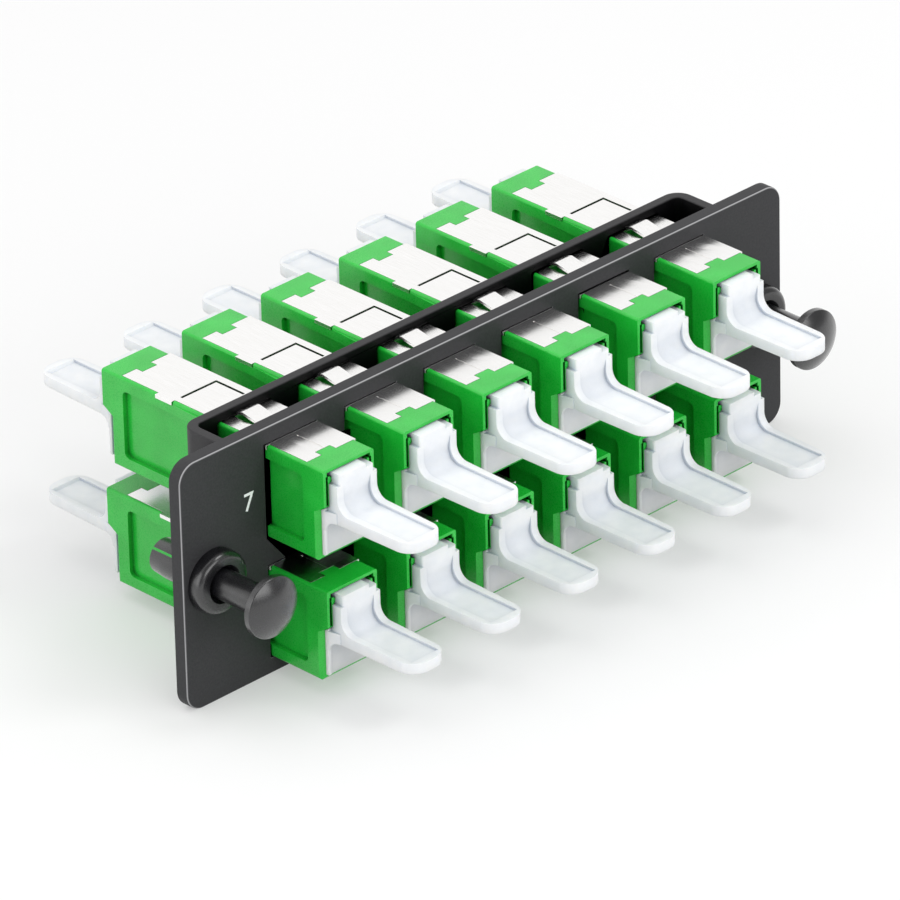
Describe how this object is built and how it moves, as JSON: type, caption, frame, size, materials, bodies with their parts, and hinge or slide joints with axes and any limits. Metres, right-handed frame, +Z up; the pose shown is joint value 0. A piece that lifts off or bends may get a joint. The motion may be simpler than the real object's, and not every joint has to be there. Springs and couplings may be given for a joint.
{
  "type": "fibre adapter panel",
  "caption": "Black steel panel with a folded rear bracket, holding two rows of green fibre optic adapters with white dust plugs, and a push-pull latch at each end.",
  "frame": {"origin": "centre of the front plate's rear face, which seats on the shelf", "axes": "+X along the plate to the right as seen from the front, -Y out of the front, +Z up"},
  "size_m": [0.111, 0.0702, 0.036],
  "materials": {
    "powder_coat": "fine textured black powder coat on sheet steel",
    "black_nylon": "glossy black moulded nylon",
    "green_plastic": "glossy green moulded plastic",
    "bright_metal": "bright nickel on spring steel sheet",
    "white_plug": "white translucent soft polyethylene",
    "holder_plastic": "moulded plastic",
    "zirconia": "ground zirconia"
  },
  "bodies": {
    "panel": {"front_plate": "powder_coat", "rear_bracket": "powder_coat", "latch_grommet_left": "black_nylon", "latch_grommet_right": "black_nylon", "housing_upper_1": "green_plastic", "cover_upper_1": "bright_metal", "housing_upper_2": "green_plastic", "cover_upper_2": "bright_metal", "housing_upper_3": "green_plastic", "cover_upper_3": "bright_metal", "housing_upper_4": "green_plastic", "cover_upper_4": "bright_metal", "housing_upper_5": "green_plastic", "cover_upper_5": "bright_metal", "housing_upper_6": "green_plastic", "cover_upper_6": "bright_metal", "housing_lower_1": "green_plastic", "cover_lower_1": "bright_metal", "housing_lower_2": "green_plastic", "cover_lower_2": "bright_metal", "housing_lower_3": "green_plastic", "cover_lower_3": "bright_metal", "housing_lower_4": "green_plastic", "cover_lower_4": "bright_metal", "housing_lower_5": "green_plastic", "cover_lower_5": "bright_metal", "housing_lower_6": "green_plastic", "cover_lower_6": "bright_metal", "sleeve_holders": "holder_plastic", "ceramic_sleeves": "zirconia"},
    "plunger_left": {"latch_plunger_left": "black_nylon"},
    "plunger_right": {"latch_plunger_right": "black_nylon"},
    "front_plug_upper_1": {"front_plug_upper_1": "white_plug"},
    "rear_plug_upper_1": {"rear_plug_upper_1": "white_plug"},
    "front_plug_upper_2": {"front_plug_upper_2": "white_plug"},
    "rear_plug_upper_2": {"rear_plug_upper_2": "white_plug"},
    "front_plug_upper_3": {"front_plug_upper_3": "white_plug"},
    "rear_plug_upper_3": {"rear_plug_upper_3": "white_plug"},
    "front_plug_upper_4": {"front_plug_upper_4": "white_plug"},
    "rear_plug_upper_4": {"rear_plug_upper_4": "white_plug"},
    "front_plug_upper_5": {"front_plug_upper_5": "white_plug"},
    "rear_plug_upper_5": {"rear_plug_upper_5": "white_plug"},
    "front_plug_upper_6": {"front_plug_upper_6": "white_plug"},
    "rear_plug_upper_6": {"rear_plug_upper_6": "white_plug"},
    "front_plug_lower_1": {"front_plug_lower_1": "white_plug"},
    "rear_plug_lower_1": {"rear_plug_lower_1": "white_plug"},
    "front_plug_lower_2": {"front_plug_lower_2": "white_plug"},
    "rear_plug_lower_2": {"rear_plug_lower_2": "white_plug"},
    "front_plug_lower_3": {"front_plug_lower_3": "white_plug"},
    "rear_plug_lower_3": {"rear_plug_lower_3": "white_plug"},
    "front_plug_lower_4": {"front_plug_lower_4": "white_plug"},
    "rear_plug_lower_4": {"rear_plug_lower_4": "white_plug"},
    "front_plug_lower_5": {"front_plug_lower_5": "white_plug"},
    "rear_plug_lower_5": {"rear_plug_lower_5": "white_plug"},
    "front_plug_lower_6": {"front_plug_lower_6": "white_plug"},
    "rear_plug_lower_6": {"rear_plug_lower_6": "white_plug"}
  },
  "joints": [
    {"name": "latch_left_push", "type": "slide", "parent": "panel", "child": "plunger_left", "axis": [0, 1, 0], "range_m": [0, 0.0075]},
    {"name": "latch_right_push", "type": "slide", "parent": "panel", "child": "plunger_right", "axis": [0, 1, 0], "range_m": [0, 0.0075]},
    {"name": "front_plug_upper_1_pull", "type": "slide", "parent": "panel", "child": "front_plug_upper_1", "axis": [0, -1, 0], "range_m": [0, 0.025]},
    {"name": "rear_plug_upper_1_pull", "type": "slide", "parent": "panel", "child": "rear_plug_upper_1", "axis": [0, 1, 0], "range_m": [0, 0.025]},
    {"name": "front_plug_upper_2_pull", "type": "slide", "parent": "panel", "child": "front_plug_upper_2", "axis": [0, -1, 0], "range_m": [0, 0.025]},
    {"name": "rear_plug_upper_2_pull", "type": "slide", "parent": "panel", "child": "rear_plug_upper_2", "axis": [0, 1, 0], "range_m": [0, 0.025]},
    {"name": "front_plug_upper_3_pull", "type": "slide", "parent": "panel", "child": "front_plug_upper_3", "axis": [0, -1, 0], "range_m": [0, 0.025]},
    {"name": "rear_plug_upper_3_pull", "type": "slide", "parent": "panel", "child": "rear_plug_upper_3", "axis": [0, 1, 0], "range_m": [0, 0.025]},
    {"name": "front_plug_upper_4_pull", "type": "slide", "parent": "panel", "child": "front_plug_upper_4", "axis": [0, -1, 0], "range_m": [0, 0.025]},
    {"name": "rear_plug_upper_4_pull", "type": "slide", "parent": "panel", "child": "rear_plug_upper_4", "axis": [0, 1, 0], "range_m": [0, 0.025]},
    {"name": "front_plug_upper_5_pull", "type": "slide", "parent": "panel", "child": "front_plug_upper_5", "axis": [0, -1, 0], "range_m": [0, 0.025]},
    {"name": "rear_plug_upper_5_pull", "type": "slide", "parent": "panel", "child": "rear_plug_upper_5", "axis": [0, 1, 0], "range_m": [0, 0.025]},
    {"name": "front_plug_upper_6_pull", "type": "slide", "parent": "panel", "child": "front_plug_upper_6", "axis": [0, -1, 0], "range_m": [0, 0.025]},
    {"name": "rear_plug_upper_6_pull", "type": "slide", "parent": "panel", "child": "rear_plug_upper_6", "axis": [0, 1, 0], "range_m": [0, 0.025]},
    {"name": "front_plug_lower_1_pull", "type": "slide", "parent": "panel", "child": "front_plug_lower_1", "axis": [0, -1, 0], "range_m": [0, 0.025]},
    {"name": "rear_plug_lower_1_pull", "type": "slide", "parent": "panel", "child": "rear_plug_lower_1", "axis": [0, 1, 0], "range_m": [0, 0.025]},
    {"name": "front_plug_lower_2_pull", "type": "slide", "parent": "panel", "child": "front_plug_lower_2", "axis": [0, -1, 0], "range_m": [0, 0.025]},
    {"name": "rear_plug_lower_2_pull", "type": "slide", "parent": "panel", "child": "rear_plug_lower_2", "axis": [0, 1, 0], "range_m": [0, 0.025]},
    {"name": "front_plug_lower_3_pull", "type": "slide", "parent": "panel", "child": "front_plug_lower_3", "axis": [0, -1, 0], "range_m": [0, 0.025]},
    {"name": "rear_plug_lower_3_pull", "type": "slide", "parent": "panel", "child": "rear_plug_lower_3", "axis": [0, 1, 0], "range_m": [0, 0.025]},
    {"name": "front_plug_lower_4_pull", "type": "slide", "parent": "panel", "child": "front_plug_lower_4", "axis": [0, -1, 0], "range_m": [0, 0.025]},
    {"name": "rear_plug_lower_4_pull", "type": "slide", "parent": "panel", "child": "rear_plug_lower_4", "axis": [0, 1, 0], "range_m": [0, 0.025]},
    {"name": "front_plug_lower_5_pull", "type": "slide", "parent": "panel", "child": "front_plug_lower_5", "axis": [0, -1, 0], "range_m": [0, 0.025]},
    {"name": "rear_plug_lower_5_pull", "type": "slide", "parent": "panel", "child": "rear_plug_lower_5", "axis": [0, 1, 0], "range_m": [0, 0.025]},
    {"name": "front_plug_lower_6_pull", "type": "slide", "parent": "panel", "child": "front_plug_lower_6", "axis": [0, -1, 0], "range_m": [0, 0.025]},
    {"name": "rear_plug_lower_6_pull", "type": "slide", "parent": "panel", "child": "rear_plug_lower_6", "axis": [0, 1, 0], "range_m": [0, 0.025]}
  ]
}
